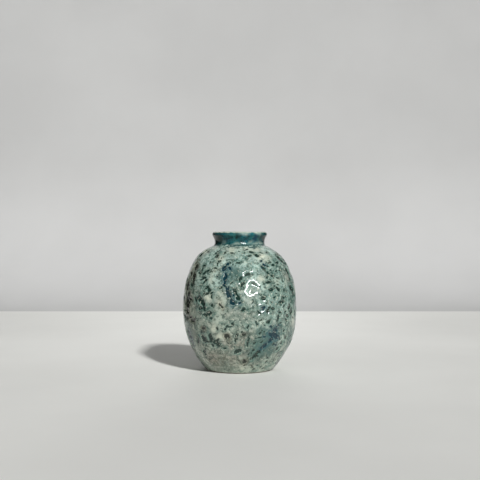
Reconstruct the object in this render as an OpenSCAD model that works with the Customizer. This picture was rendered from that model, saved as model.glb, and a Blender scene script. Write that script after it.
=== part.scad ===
// Hand-built stoneware vase: an ovoid wall on a slab floor and a foot ring, a flared collar luted to
// the shoulder, and three coats of glaze. Every outline is drawn as radius against height, in
// millimetres, and turned about the upright axis. The origin is the middle of the foot, on the table.

/* [Overall] */
// Height from the table to the top of the lip
height = 170; // [150:1:190]
// Widest diameter, over the glaze
belly_d = 141; // [125:1:160]
// Height of the widest point above the table
belly_z = 76; // [66:1:88]

/* [Foot] */
// Diameter of the bare clay at the table
foot_d = 82; // [70:1:96]
// Width of the ring that stands on the table
foot_ring_w = 8; // [6:0.5:12]
// Height of the foot ring
foot_ring_h = 4; // [3:0.5:6]
// Bevel on the two lower edges of the foot ring
foot_bevel = 0.8; // [0.4:0.1:1.2]
// Height of the bare clay left below the glaze line
bare_h = 2; // [1.5:0.1:2.5]

/* [Neck] */
// Height of the neck, from its joint with the shoulder to the lip
neck_h = 17.5; // [15:0.5:22]
// Diameter of the neck at its waist, over the glaze
neck_d = 62; // [54:1:66]
// Height of the waist above the joint
waist_h = 4.5; // [3:0.5:6]
// Diameter of the lip, over the glaze
lip_d = 67.6; // [64:0.1:74]
// Slope of the shoulder where it meets the neck, in degrees
shoulder_slope = 19; // [8:1:30]

/* [Clay] */
// Thickness of the body wall
wall = 5.5; // [4:0.5:8]
// Thickness of the neck collar
neck_wall = 4.6; // [3.6:0.2:6]
// Thickness of the floor slab
floor_t = 6; // [4:0.5:9]
// Hollow radius of the coil that is smoothed into the inner corner of the floor
floor_coil_r = 8; // [6:0.5:12]
// Thickness of the coil's smoothed edges
coil_edge = 0.3; // [0.2:0.1:0.5]
// Thickness of the slip in each luted joint
slip_t = 0.5; // [0.3:0.1:1]

/* [Glaze] */
// Thickness of the outer glaze
glaze_t = 0.8; // [0.5:0.1:1.2]
// Thickness of the glaze inside
liner_t = 0.6; // [0.4:0.1:1]
// Radius of the glaze that pools in the crease below the neck
crease_r = 2.5; // [1:0.5:4]

/* [Hidden] */
$fn = 180;

stoneware = "#c8bfae";
slip_grey = "#b7ad9b";
mottled_green = "#8ea699";
dark_teal = "#2e5a60";
pale_celadon = "#c9d2c2";

// Largest distance between an arc and its straight stretches
arc_gap = 0.015;

// Heights of the joints, from the table up
slab_z = foot_ring_h + slip_t;
floor_top = slab_z + floor_t;
wall_z = floor_top + slip_t;
seat_z = height - neck_h;
collar_z = seat_z + slip_t;

// Collar: its middle line is one arc, upright at the waist and flaring to the middle of the lip
half_neck = neck_wall / 2;
waist = [neck_d / 2 - glaze_t - half_neck, seat_z + waist_h];
lip = [lip_d / 2 - glaze_t - half_neck, height - glaze_t - half_neck];
flare_r = ((lip - waist) * (lip - waist)) / (2 * (lip.x - waist.x));
flare_c = [waist.x + flare_r, waist.y];
lip_angle = 180 - asin((lip.y - waist.y) / flare_r);
outer_neck_r = flare_r - half_neck;
inner_neck_r = flare_r + half_neck;
glazed_neck_r = outer_neck_r - glaze_t;
lined_neck_r = inner_neck_r + liner_t;
root = on_neck(outer_neck_r, seat_z);
throat = on_neck(inner_neck_r, seat_z);
lined_throat = on_neck(lined_neck_r, seat_z);

// Body below the belly: one arc on the clay face, upright at the belly and meeting the table at the foot
belly = [belly_d / 2 - glaze_t, belly_z];
foot_r = foot_d / 2;
ring_in_r = foot_r - foot_ring_w;
lower_r = (belly_z ^ 2 + (belly.x - foot_r) ^ 2) / (2 * (belly.x - foot_r));
lower_c = belly - [lower_r, 0];

// Body above the belly: two arcs with equal tangents, from upright at the belly to the shoulder's slope
root_way = [-cos(shoulder_slope), sin(shoulder_slope)];
tangent = equal_tangent(root - belly, root_way);
belly_corner = belly + tangent * [0, 1];
root_corner = root - tangent * root_way;
upper_turn = atan2(belly_corner.x - root_corner.x, root_corner.y - belly_corner.y);
upper_r = tangent / tan(upper_turn / 2);
upper_c = belly - [upper_r, 0];
shoulder_r = tangent / tan((90 - shoulder_slope - upper_turn) / 2);
shoulder_c = root - shoulder_r * [sin(shoulder_slope), cos(shoulder_slope)];

// Hollow face of the coil in the inner corner of the floor, thinned out on the floor and on the wall
coil_z = floor_top + coil_edge + floor_coil_r;
coil_reach = lower_r - wall - coil_edge - floor_coil_r;
coil_c = [lower_c.x + sqrt(coil_reach ^ 2 - (coil_z - belly_z) ^ 2), coil_z];
coil_turn = angle_of(coil_c - lower_c);

// Crease where the neck's glaze meets the clay, and the pool that is tangent to both outer glazes
crease = circles_meet(shoulder_c, shoulder_r, flare_c, glazed_neck_r);
pool_c = circles_meet(shoulder_c, shoulder_r + glaze_t + crease_r, flare_c, glazed_neck_r - crease_r);
pool_low = angle_of(pool_c - shoulder_c);
pool_high = turn_of(pool_c - flare_c);

function dir(angle) = [cos(angle), sin(angle)];
function angle_of(v) = atan2(v.y, v.x);
// The same angle, counted up from 0 to 360
function turn_of(v) = (angle_of(v) + 360) % 360;
function reversed(list) = [for (i = [len(list) - 1:-1:0]) list[i]];

// Points of an arc about c after its first point, which ends the stretch before it
function arc(c, r, from, to) =
    let (count = ceil(abs(to - from) / (2 * acos(1 - arc_gap / r))))
    [for (i = [1:count]) c + r * dir(from + (to - from) * i / count)];

// Tangent length of the two arcs that join an upright start to an end direction, by an offset v
function equal_tangent(v, way) =
    let (both = v * ([0, 1] + way), bend = 1 - way.y)
    (sqrt(both ^ 2 + 2 * bend * (v * v)) - both) / (2 * bend);

// The upper left meeting point of two circles
function circles_meet(c0, r0, c1, r1) =
    let (gap = norm(c1 - c0), along = (r0 ^ 2 - r1 ^ 2 + gap ^ 2) / (2 * gap), way = (c1 - c0) / gap)
    c0 + along * way + sqrt(r0 ^ 2 - along ^ 2) * [-way.y, way.x];

// Angle about the flare's centre, and point, where a layer of the neck passes a height
function neck_angle(r, z) = 180 + asin((flare_c.y - z) / r);
function on_neck(r, z) = flare_c + r * dir(neck_angle(r, z));

// Angle about the lower arc's centre, and point, where a layer of the body passes a height
function low_angle(outward, z) = asin((z - belly_z) / (lower_r + outward));
function on_body(outward, z) = lower_c + (lower_r + outward) * dir(low_angle(outward, z));

// Layer of the body at a distance outward of the clay face, from an angle low down to one on the shoulder
function body_curve(outward, low, high) = concat(
    arc(lower_c, lower_r + outward, low, 0),
    arc(upper_c, upper_r + outward, 0, upper_turn),
    arc(shoulder_c, shoulder_r + outward, upper_turn, high));

// Outside of the clay, from the wall's joint up to the crease
function clay_face() = concat(
    [on_body(0, wall_z)],
    body_curve(0, low_angle(0, wall_z), angle_of(crease - shoulder_c)));

// Inside of the wall that the coil covers, from the wall's joint up
function coil_seat() = concat(
    [on_body(-wall, wall_z)],
    arc(lower_c, lower_r - wall, low_angle(-wall, wall_z), coil_turn));

// Hollow of the coil at a radius, from the floor up
function coil_hollow(r) = concat([coil_c - [0, r]], arc(coil_c, r, -90, coil_turn));

// Inside of the dome and the wall at a distance inward of the clay face, ending below a point of the throat
function inner_face(inward, below) =
    body_curve(-inward, coil_turn, acos((below.x - shoulder_c.x) / (shoulder_r - inward)));

// Side of the neck at a distance from the flare's centre, after its start at an angle, up to the lip
function neck_face(r, from) = arc(flare_c, r, from, lip_angle);

// Round of the lip, from outside to inside, after its start
function lip_round(r) = arc(lip, r, lip_angle - 180, lip_angle);

module turned(outline, paint) {
    color(paint) rotate_extrude() polygon(outline);
}

module foot_ring() {
    turned([[ring_in_r + foot_bevel, 0], [foot_r - foot_bevel, 0], on_body(0, foot_bevel),
            on_body(0, bare_h), on_body(0, foot_ring_h), [ring_in_r, foot_ring_h],
            [ring_in_r, foot_bevel]], stoneware);
}

module foot_slip() {
    turned([[ring_in_r, foot_ring_h], on_body(0, foot_ring_h), on_body(0, slab_z), [ring_in_r, slab_z]],
           slip_grey);
}

module floor_slab() {
    turned([[0, slab_z], on_body(0, slab_z), on_body(0, floor_top), [0, floor_top]], stoneware);
}

module floor_slip() {
    turned([on_body(-wall, floor_top), on_body(0, floor_top), on_body(0, wall_z), on_body(-wall, wall_z)],
           slip_grey);
}

module floor_coil() {
    floor_edge = [[coil_c.x, floor_top], on_body(-wall, floor_top)];
    turned(concat(floor_edge, coil_seat(), reversed(coil_hollow(floor_coil_r))), stoneware);
}

module body_wall() {
    inside = concat(coil_seat(), inner_face(wall, throat), [throat]);
    turned(concat(clay_face(), [root], reversed(inside)), stoneware);
}

module neck_slip() {
    turned([throat, root, on_neck(outer_neck_r, collar_z), on_neck(inner_neck_r, collar_z)], slip_grey);
}

module neck_collar() {
    outside = concat([on_neck(outer_neck_r, collar_z)],
                     neck_face(outer_neck_r, neck_angle(outer_neck_r, collar_z)));
    inside = concat([on_neck(inner_neck_r, collar_z)],
                    neck_face(inner_neck_r, neck_angle(inner_neck_r, collar_z)));
    around = lip_round(half_neck);
    turned(concat(outside, [for (i = [0:len(around) - 2]) around[i]], reversed(inside)), stoneware);
}

module body_glaze() {
    low_end = low_angle(0, bare_h);
    foot = [for (z = [bare_h, foot_ring_h, slab_z, floor_top]) on_body(0, z)];
    up_the_neck = arc(flare_c, glazed_neck_r, turn_of(crease - flare_c), pool_high);
    pool = arc(pool_c, crease_r, pool_high, pool_low + 180);
    outside = concat([lower_c + (lower_r + glaze_t) * dir(low_end)], body_curve(glaze_t, low_end, pool_low));
    down = [for (i = [len(outside) - 2:-1:0]) outside[i]];
    turned(concat(foot, clay_face(), up_the_neck, pool, down), mottled_green);
}

module neck_glaze() {
    outside = concat(
        [crease],
        arc(flare_c, glazed_neck_r, turn_of(crease - flare_c), pool_high),
        neck_face(glazed_neck_r, pool_high),
        lip_round(half_neck + glaze_t));
    clay = concat(
        [root, on_neck(outer_neck_r, collar_z)],
        neck_face(outer_neck_r, neck_angle(outer_neck_r, collar_z)),
        lip_round(half_neck));
    turned(concat(outside, reversed(clay)), dark_teal);
}

module liner_glaze() {
    clay = concat(
        [[0, floor_top], [coil_c.x, floor_top]],
        coil_hollow(floor_coil_r),
        [lower_c + (lower_r - wall) * dir(coil_turn)],
        inner_face(wall, throat),
        [throat, on_neck(inner_neck_r, collar_z)],
        neck_face(inner_neck_r, neck_angle(inner_neck_r, collar_z)));
    bare = concat(
        [[0, floor_top + coil_edge + liner_t]],
        coil_hollow(floor_coil_r - liner_t),
        inner_face(wall + liner_t, lined_throat),
        [lined_throat],
        neck_face(lined_neck_r, neck_angle(lined_neck_r, seat_z)));
    turned(concat(clay, reversed(bare)), pale_celadon);
}

foot_ring();
foot_slip();
floor_slab();
floor_slip();
floor_coil();
body_wall();
neck_slip();
neck_collar();
body_glaze();
neck_glaze();
liner_glaze();
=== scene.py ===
import math

import bpy
import numpy as np
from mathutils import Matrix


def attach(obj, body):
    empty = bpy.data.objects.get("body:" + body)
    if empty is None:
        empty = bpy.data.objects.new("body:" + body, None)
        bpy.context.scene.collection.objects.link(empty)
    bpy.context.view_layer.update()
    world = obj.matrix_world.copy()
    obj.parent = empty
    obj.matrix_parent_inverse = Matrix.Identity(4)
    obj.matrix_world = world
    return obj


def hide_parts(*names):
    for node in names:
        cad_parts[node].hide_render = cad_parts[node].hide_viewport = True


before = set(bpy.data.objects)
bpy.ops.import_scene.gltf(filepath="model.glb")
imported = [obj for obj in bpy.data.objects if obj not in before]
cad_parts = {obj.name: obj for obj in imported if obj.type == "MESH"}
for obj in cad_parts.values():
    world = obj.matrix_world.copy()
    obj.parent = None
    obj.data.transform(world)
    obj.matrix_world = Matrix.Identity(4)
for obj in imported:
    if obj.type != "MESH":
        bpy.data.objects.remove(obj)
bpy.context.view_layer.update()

# The vase is worked out in millimetres and degrees. Materials, stage and lamps are in metres, as Blender is.
# An angle around the vase is 0 at the front (-Y) and grows to the viewer's right (+X).
MM = 0.001
FULL_TURN = 2 * math.pi
SEED = 38

# Sizes of the turned vase, which its solids also have
HEIGHT = 170
BELLY_D = 141
BELLY_Z = 76
FOOT_D = 82
BARE_H = 2
NECK_H = 17.5
NECK_D = 62
WAIST_H = 4.5
LIP_D = 67.6
SHOULDER_SLOPE = 19
WALL = 5.5
WALL_FOOT = 11
NECK_WALL = 4.6
GLAZE = 0.8
CREASE_R = 2.5

# The photograph's view: the eye's place, the picture's width in pixels, the camera's sensor, lens and shift
EYE = (0, -1050, 170.3)
PICTURE = 480
SENSOR = 36
LENS = 63.2
SHIFT = (0.0008, -0.0175)

# The lamp that gloss shows: degrees right of the front and above the floor
GLINT_LAMP = (26, 21)

# Step along a line of sight, the least share of a mark's size that is taken to show at the edges, and the
# step up a side over which its slope is taken
SIGHT_STEP = 0.1
LEAST_SEEN = 0.5
SLOPE_STEP = 0.5

# Points around each ring, points of an arc, and rows along the coats and the wall
COLUMNS = 480
ARC_POINTS = 60
GLAZE_ROWS = 166
POOL_ROWS = 9
UNDER_POOL_ROWS = 4
BELOW_WALL_ROWS = 4
WALL_ROWS = 26
HOLLOW_ROWS = 40
NECK_ROWS = 40
LIP_ROWS = 28
NECK_BACK_ROWS = 16

# Share of the unwrapped picture that the side that shows takes, and the angle from which an edge stays sharp
SHOWN_SHARE = 0.86
SHARP = 48

# Dents that glaze has pooled in, noted on the photograph's view: the place there in pixels, right and
# down, the length and width as they look there, in millimetres, the tilt and the depth of colour
GREEN_DENTS = (
    (258.5, 248, 4, 2.5, -15, 0.4), (246, 249.5, 5, 2.5, 10, 0.55), (239, 251.3, 4, 2, 0, 0.55),
    (217.5, 251.5, 9, 2.5, 40, 0.6), (225, 252, 5, 2.5, 35, 0.6), (250.5, 252.3, 5, 2.8, -15, 0.75),
    (208.5, 252, 4, 3, 40, 0.5), (232, 252.7, 5, 2.5, 20, 0.7), (245, 252.7, 3, 2.5, 80, 0.5),
    (260.5, 252.5, 4, 2, -10, 0.5), (267, 252.5, 4, 2, -25, 0.55), (216.5, 255.2, 8, 3.5, 40, 0.85),
    (249.5, 255.8, 6, 3, 10, 0.6), (256.5, 255, 6.5, 2.6, -20, 0.9), (283, 259, 5, 2.4, -50, 0.7),
    (219.3, 260.7, 5, 2.2, 20, 0.8), (209.7, 262.3, 6, 2, 60, 0.5), (230.3, 262.2, 3, 2.5, 0, 0.75),
    (237.3, 262.2, 6.5, 2.8, 5, 0.85), (269.3, 262.3, 3.5, 2.6, 20, 0.8),
    (277.4, 262.4, 5, 3.5, -15, 0.8), (217.7, 264.5, 6, 2, 100, 0.7), (204.5, 265.5, 3.5, 3, 45, 0.8),
    (273.2, 264.9, 4.5, 2.6, -20, 0.85), (286, 264, 6, 2.4, -55, 0.8), (267.7, 266.6, 3, 2, -20, 0.6),
    (215, 268, 5, 3, -30, 0.7), (249.4, 268.5, 3.5, 2.5, 60, 0.45), (263.5, 268, 8, 2.5, -45, 0.85),
    (202, 269, 6, 2.5, 65, 0.65), (271, 270, 4, 2.2, -10, 0.6), (207.5, 270.5, 4, 3, 40, 0.85),
    (280, 270.5, 4, 2.2, -20, 0.7), (212, 271.3, 3, 2.2, -30, 0.65), (276.7, 271, 5, 2.5, 10, 0.6),
    (204.5, 272.3, 10, 2.8, 40, 0.85), (287.3, 271.5, 10, 3, -60, 0.75),
    (199.8, 272.8, 3.5, 2.5, 90, 0.75), (267.7, 273, 6, 3, -50, 0.6), (207.5, 274, 6, 5, 0, 0.45),
    (247.3, 274.5, 7, 4, 25, 0.8), (273.2, 275.9, 7, 2.6, -10, 0.85), (262.7, 277, 3.5, 2.5, 20, 0.45),
    (240.8, 278.3, 6, 3.5, 80, 0.85), (267, 277.3, 4, 3, 60, 0.6), (203.5, 278, 7, 3, 35, 0.85),
    (277.8, 278, 5.5, 2, -10, 0.75), (290, 279, 6, 2.4, -70, 0.8), (204.8, 281, 9, 3, 40, 0.85),
    (218.5, 282.5, 5, 2.5, 55, 0.5), (231.5, 282.7, 4, 3, 45, 0.6), (283, 281, 4, 2.4, -60, 0.7),
    (212.7, 282.6, 6, 2, 40, 0.35), (243.3, 283.3, 5, 4, 0, 0.9), (269.3, 282.4, 6.5, 3.5, 10, 0.85),
    (254.5, 284.2, 9, 2.2, -28, 0.8), (192.2, 283.7, 10, 3.5, 80, 0.7), (277.7, 284.4, 3, 2.5, 0, 0.85),
    (241.7, 286, 4, 3, 45, 0.85), (206.3, 287.3, 7, 3.5, 35, 0.85), (220.3, 287.8, 4.5, 3, 50, 0.9),
    (265, 287.5, 7, 4, -10, 0.5), (208.8, 290, 6, 4, -50, 0.9), (222.5, 290.2, 4, 2.5, -60, 0.45),
    (271.4, 289.4, 6, 4.5, -10, 0.95), (278.4, 289, 7, 3.5, -55, 0.8), (291, 287.5, 8, 4, -75, 0.8),
    (251.8, 291, 5.5, 1.6, 85, 0.35), (262.5, 291.7, 4, 3, 80, 0.45), (284, 290, 5, 2.4, 80, 0.7),
    (235.5, 292.5, 9, 4.5, -65, 0.95), (286.8, 291, 5, 2, 90, 0.55), (206.7, 293.5, 7, 2.5, 50, 0.7),
    (292.8, 293, 12, 2.5, -80, 0.85), (211.3, 296.3, 8, 2.5, 100, 0.85), (238, 298, 7, 5, -60, 0.75),
    (268.7, 297.5, 2.5, 2, 0, 0.5), (275, 297, 4, 2.4, 20, 0.7), (263.2, 298.3, 6.5, 5, 20, 0.8),
    (283.5, 297, 5, 3.5, -60, 0.7), (200, 299.5, 11, 6, -50, 0.9), (252.6, 302, 8, 3.5, 80, 0.55),
    (266, 303, 3, 2.2, 0, 0.6), (272, 302.5, 3.4, 2.2, 0, 0.7), (279.5, 302, 4, 2.6, 0, 0.9),
    (283, 301.7, 6, 3.5, 15, 0.85), (203, 303.5, 7, 4.5, -65, 0.9), (211.8, 305.5, 4, 3, 60, 0.8),
    (269.7, 307, 3, 2.5, 0, 0.75), (284, 306, 4, 2.4, 60, 0.8), (203.5, 307.5, 10, 4, -75, 0.85),
    (290, 306, 7, 2, 80, 0.8), (243.3, 308.9, 5, 3.5, -30, 0.8), (273.6, 308.7, 5.5, 3.5, -30, 0.95),
    (200, 308.3, 5, 4, -30, 0.85), (243, 310, 4.5, 3, 20, 0.8), (268.3, 311.3, 5.5, 4, 60, 0.9),
    (259.3, 312.8, 5, 3.5, -30, 0.75), (247.8, 313.4, 4.5, 1.5, -45, 0.55),
    (250.5, 313.5, 4, 1.8, -40, 0.6), (280, 312.4, 5.5, 3, 20, 0.8), (208.7, 313.5, 8, 6, 40, 0.9),
    (285.5, 312, 3.5, 2.2, 0, 0.8), (291.7, 311, 10, 3.5, 85, 0.75), (205.3, 315, 6, 4, -40, 0.7),
    (211, 317.8, 6, 4, -20, 0.6), (288, 316, 5, 2.4, -70, 0.8), (261, 320, 4, 2.5, 20, 0.7),
    (278.3, 318.7, 12, 3.5, 75, 0.6), (256.5, 322, 4, 2.6, -60, 0.8), (286.7, 319.7, 8, 2.5, -70, 0.7),
    (197, 320.7, 4.5, 3, 45, 0.65), (268.7, 321.8, 6, 4, 40, 0.85), (232.8, 323.8, 4, 3, -30, 0.75),
    (257, 324.6, 9, 4, -80, 0.55), (281, 323, 4, 2.2, 30, 0.7), (264, 325, 4, 2.2, -30, 0.7),
    (227.2, 326.4, 5, 2.2, 0, 0.95), (247.8, 326.6, 6, 3, 70, 0.9), (230.4, 327, 5, 2, 30, 0.85),
    (271.5, 326.5, 4, 2.5, 10, 0.6), (221.5, 328.6, 5, 2.2, 0, 0.6), (216.8, 329, 6, 3, -55, 0.85),
    (225.3, 329.2, 5, 2.8, 60, 0.9), (241.7, 331.8, 3, 3, 0, 0.7), (264, 332.2, 3, 2.5, 0, 0.6),
    (201.5, 332, 9, 7, 0, 0.5), (260.2, 333.2, 4, 3, 15, 0.85), (284, 331, 4, 2, 60, 0.7),
    (237.1, 335.5, 4.5, 3.5, 70, 0.75), (248.6, 338, 5, 3, 80, 0.75), (259, 338, 4.5, 2.6, 30, 0.8),
    (256, 339, 3.4, 2.4, 10, 0.7), (210.5, 338.5, 13, 5, -75, 0.8), (235.8, 340, 6, 5, 60, 0.7),
    (203.5, 338.5, 9, 6, -60, 0.85), (285.3, 337.3, 5, 3, 50, 0.6), (216, 341.7, 8, 5.5, 50, 0.9),
    (279.3, 339.6, 3.5, 2.5, 20, 0.6), (207.8, 341.8, 4, 3, 20, 0.85), (247.6, 343, 9, 3.2, 75, 0.9),
    (262, 342, 5, 2.4, 45, 0.8), (254.8, 343.2, 4.5, 3.2, 20, 0.85), (198.2, 341.7, 8, 2.5, 90, 0.65),
    (192.4, 341.5, 5, 2, 90, 0.55), (218, 344.6, 5, 4, 40, 0.9), (273, 344, 4, 2.4, 50, 0.7),
    (281, 343, 4, 2.2, 60, 0.7), (289, 341, 5, 3, 70, 0.6), (253, 345.8, 3, 2.5, 60, 0.5),
    (212.6, 345.7, 5, 4, -60, 0.7), (225.4, 348.3, 5, 2.5, 0, 0.75), (205.3, 348, 4, 3, -60, 0.55),
    (253, 350.5, 5, 3, 40, 0.9), (277, 348.8, 5, 3, 35, 0.9), (237.5, 351.8, 10, 5, 25, 0.8),
    (204.3, 351.6, 5, 3.5, -45, 0.65), (257.6, 352.8, 8, 3.5, 40, 0.95), (249, 354, 5, 2.4, 60, 0.6),
    (280.5, 351.7, 4, 2.5, 30, 0.6), (205.8, 354.6, 5, 3, -70, 0.6), (256, 356, 6, 2.6, 45, 0.9),
    (252.8, 358, 8, 3.5, 50, 0.95), (279.5, 355.5, 4, 2.5, 30, 0.5), (267.7, 358.1, 4, 3, 40, 0.75),
    (272, 360, 4, 2, 45, 0.5), (266, 362, 4, 2, 40, 0.6), (258, 365, 4, 2, 20, 0.6),
    (270, 366, 4, 1.6, 25, 0.5), (263, 368, 5, 1.8, 20, 0.5),
)
BLUE_DENTS = (
    (260.7, 261, 5, 2, 5, 0.7), (227.5, 263.7, 6, 3, 60, 0.7), (264.8, 264.7, 6, 2.8, -30, 0.9),
    (224, 268.2, 6, 4, 25, 0.9), (229.3, 268, 4.5, 4, -40, 0.9), (225, 277.5, 12, 4.5, 80, 0.95),
    (224.3, 284.5, 6, 3.5, 95, 0.7), (227, 290, 7, 4, -60, 0.85), (228.5, 294.5, 9, 4.5, -65, 1),
    (232.5, 302.5, 7.5, 6, -40, 1), (263.4, 308.2, 5, 4.5, -20, 0.95), (278, 326, 4, 3, 20, 0.85),
    (275.3, 330, 7, 6, 40, 0.8), (271, 335.3, 9, 3.5, -60, 0.85), (275, 335.3, 9, 6, -45, 0.75),
    (264.3, 337, 4, 3, 0, 0.75), (277.3, 337.2, 6, 3.5, 60, 0.8), (269.8, 341, 7, 3.5, 45, 0.85),
    (275.4, 344.5, 4, 3.5, 0, 0.65), (264, 346.3, 10, 3.5, 40, 0.85),
)
BROWN_DENTS = (
    (278.3, 254.6, 5, 2.5, -45, 0.7), (196, 267, 9, 4, 60, 0.8), (193.7, 276, 10, 4, 75, 0.75),
    (187.6, 286, 14, 4, 80, 0.7), (190.3, 298.6, 5, 4, -60, 0.85), (187.2, 302, 16, 5, 90, 0.9),
    (221, 305.7, 8, 3, -60, 0.8), (187.2, 310.5, 8, 4, 90, 0.95), (190.3, 317, 3, 2.5, 0, 0.95),
    (192.6, 320.7, 5, 4, -40, 0.8), (203.4, 328.4, 4, 3, -50, 1), (244, 334, 6, 4, -20, 0.65),
    (226.9, 336.6, 6.5, 4, -50, 1), (228, 342.7, 6, 3, -50, 0.5), (210.4, 359.5, 4, 2, 100, 0.7),
    (239.3, 361, 3.5, 2.2, 80, 0.5), (244.4, 361.8, 6.5, 4, 35, 0.95), (251.9, 366.6, 5, 2.5, -70, 0.6),
)

# Notches at the left and right edges: angle, height, length, width, tilt and depth of colour
SIDE_DENTS = (
    (84, 97, 9, 6, 85, 1), (87, 79, 8, 6, 80, 1), (82, 112, 8, 5, 70, 0.9), (86, 62, 7, 5, 60, 0.8),
    (-85, 70, 9, 6, 85, 1), (-88, 86, 8, 6, 80, 1), (-83, 101, 9, 6, 75, 0.9), (-80, 46, 8, 5, 60, 0.8),
)

# Broad swells at the edges: angle, height, length, width, tilt and a share of WOBBLE_DEPTH, which is below 0
# where the wall stands out
SIDE_SWELLS = ((-80, 143, 44, 26, 0, -1.6), (80, 38, 52, 32, 0, -1.6), (84, 107, 26, 18, 0, -1))

# Soft washes of colour on the front, noted on the photograph's view as the dents are
SEEN_WASHES = {
    "teal": ((264, 345, 48, 24, 48, 1), (262, 331, 16, 12, 30, 0.9), (257, 324, 9, 7, -70, 0.7),
             (270, 352, 13, 10, 30, 0.9)),
    "blue": ((275, 333, 14, 10, 60, 0.8), (226, 270, 14, 9, 80, 0.7), (225, 281, 20, 8, 85, 0.8),
             (232.5, 297, 22, 14, -62, 1)),
    "green": ((204, 288, 16, 10, 60, 0.5), (206, 310, 24, 12, -60, 0.8), (208, 338, 26, 14, -30, 0.8),
              # The narrow green wash at 290 pixels right and the grey one at 291 paint shade along the right
              # edge.
              (241, 318, 30, 14, 0, 0.5), (250, 308, 20, 12, 60, 0.5), (290, 310, 8, 26, 0, 0.8),
              (283, 320, 14, 10, 60, 0.6)),
    "grey": ((225, 360, 50, 22, 0, 1), (240, 314, 34, 20, 0, 0.7), (291, 322, 8, 30, 0, 0.7)),
    "cream": ((207.5, 297.5, 9, 6, -60, 1), (262, 256.5, 9, 6, 30, 1), (256, 249.5, 12, 5, 0, 0.7),
              (219, 337, 9, 6, 0, 0.9), (214, 328, 12, 5, 80, 0.8), (205, 252, 10, 5, 35, 0.8),
              (243, 368, 12, 5, -20, 0.4), (222, 300, 22, 14, 75, 0.5), (231, 249, 12, 7, 0, 0.7),
              (221, 259, 9, 8, 0, 0.6), (266, 259, 12, 6, 20, 0.6), (261, 279, 8, 7, 0, 0.7),
              (211, 279, 10, 6, 80, 0.5), (214, 270, 8, 6, 0, 0.5), (276, 281, 10, 6, 0, 0.4)),
    # This long brown wash runs along the left edge and paints the shade there.
    "brown": ((188, 295, 70, 14, 88, 0.9),),
}

# Wider washes, chosen on the body: angle, height, length, width, tilt and strength. The teal and green washes
# from 68 degrees on paint shade along the right edge.
WIDE_WASHES = {
    "teal": ((-4, 123, 24, 22, 85, 0.75), (68, 44, 48, 20, 80, 0.7), (70, 92, 60, 26, 90, 0.62)),
    "green": ((44, 115, 44, 28, 60, 0.55), (78, 86, 84, 26, 90, 0.9)),
    "grey": ((10, 87, 26, 18, 80, 0.5), (-6, 40, 64, 34, 0, 0.7)),
    "cream": ((16, 150, 13, 7, 10, 0.8),),
}

# Finger-pressed bowls on the front: angle, height, length, width, tilt, depth and the height of the crest
# around each
FRONT_BOWLS = (
    (1, 98, 12, 9, 60, 0.35, 0.3), (-2, 70, 16, 11, 20, 0.4, 0.35), (12, 66, 14, 9, -40, 0.4, 0.35),
)

# Flats pressed into the front, noted on the view: place, length, width, tilt and share. The two large ones
# have dry scars, which are longer and wider by a margin.
LARGE_FLATS = ((248.5, 274, 22.5, 12, 0, 1), (252.5, 288, 27, 25.5, 65, 1))
SMALL_FLATS = (
    (239, 283.8, 5, 4.5, 0, 1), (264.3, 301.2, 6.5, 5, 0, 1), (260, 304.5, 5.5, 5, 0, 1),
    (262.2, 311.8, 6.5, 5.5, 0, 1), (259, 315.2, 5, 5, 0, 1), (268.8, 313.3, 6.5, 4.5, 60, 1),
)
SCAR_MARGIN = 3

# Flat at the foot of the neck: angle, height, length, width, tilt and share
NECK_FLATS = ((7.5, 156.5, 9, 3, 0, 1),)

# Glossy ridges that run over the dry scars, noted on the view as the dents are
GLOSSY_STREAKS = (
    (243, 274.5, 5, 1.3, 80, 1), (244.6, 271.9, 3.5, 1.3, 40, 1), (247.2, 271.3, 3.5, 1.2, 0, 1),
    (253.3, 271.5, 7, 1.6, 5, 1), (244.3, 276.5, 2.8, 1.2, -40, 1), (246.5, 288.5, 4, 1.6, 60, 1),
    (247.5, 284.5, 6, 1.7, 85, 1), (249, 281, 4, 1.8, 45, 1), (252, 279.8, 5, 1.8, 0, 1),
    (255.8, 281.6, 5, 1.4, -35, 1), (258.8, 284, 4.5, 1.4, -40, 1), (254, 285.6, 5.5, 1.7, -20, 1),
    (257.6, 287, 5.5, 1.4, -30, 1), (250.3, 291.8, 4.5, 1.7, 80, 1), (245.6, 292, 5, 2, -70, 1),
    (247.6, 295.2, 4.5, 2.4, -40, 1), (250.5, 296, 4.5, 2, 0, 1), (253.5, 294.6, 5, 2, 30, 1),
    (256.6, 293.2, 4, 1.8, 20, 1),
)

# Beads of glaze that stand in the crease: their height and width, and each one's angle, length and share
BEAD_Z = 153.5
BEAD_WIDTH = 4
BEADS = ((9, 9, 1), (-38, 14, 0.6), (52, 12, 0.7), (110, 16, 0.8), (168, 11, 0.6), (215, 15, 0.9),
         (280, 12, 0.6))
CREASE_BEADS = [(angle, BEAD_Z, long, BEAD_WIDTH, 0, share) for angle, long, share in BEADS]

# Marks on the neck's front, chosen on it: angle, height, length, width, tilt and strength. The wide dark
# marks at -62 and 72 degrees paint shade on the neck's left and right sides.
NECK_MARKS = {
    "dark": ((-62, 161, 18, 32, 90, 1), (-45, 165, 8, 5, 0, 0.8), (-30, 159, 7, 5, 20, 0.6),
             (-4, 164, 8, 6, 60, 0.9), (3, 159, 6, 4, 0, 0.6), (53, 163, 9, 6, 80, 0.9),
             (72, 161, 18, 24, 90, 1), (18, 164, 6, 4, 30, 0.6), (-20, 163, 6, 5, 0, 0.6)),
    "blue": ((36, 163, 10, 7, 80, 1), (12, 161, 12, 6, 0, 0.5), (-25, 161, 10, 7, 10, 0.4)),
    "pale": ((-6, 155, 10, 4, 5, 1), (10, 168.5, 11, 5, 0, 1), (44, 168.5, 10, 4, 0, 1),
             (23, 157, 9, 4, 30, 0.6), (-40, 156, 8, 4, 40, 0.4), (48, 155.5, 20, 5, 0, 0.9)),
}

# Marks on the sides and the back, from these angles on, are drawn from a seed. Most pairs below are the least
# and the most of what is drawn.
BACK_FROM = 62
NECK_BACK_FROM = 80
ANY_TILT = (-90, 90)

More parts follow.
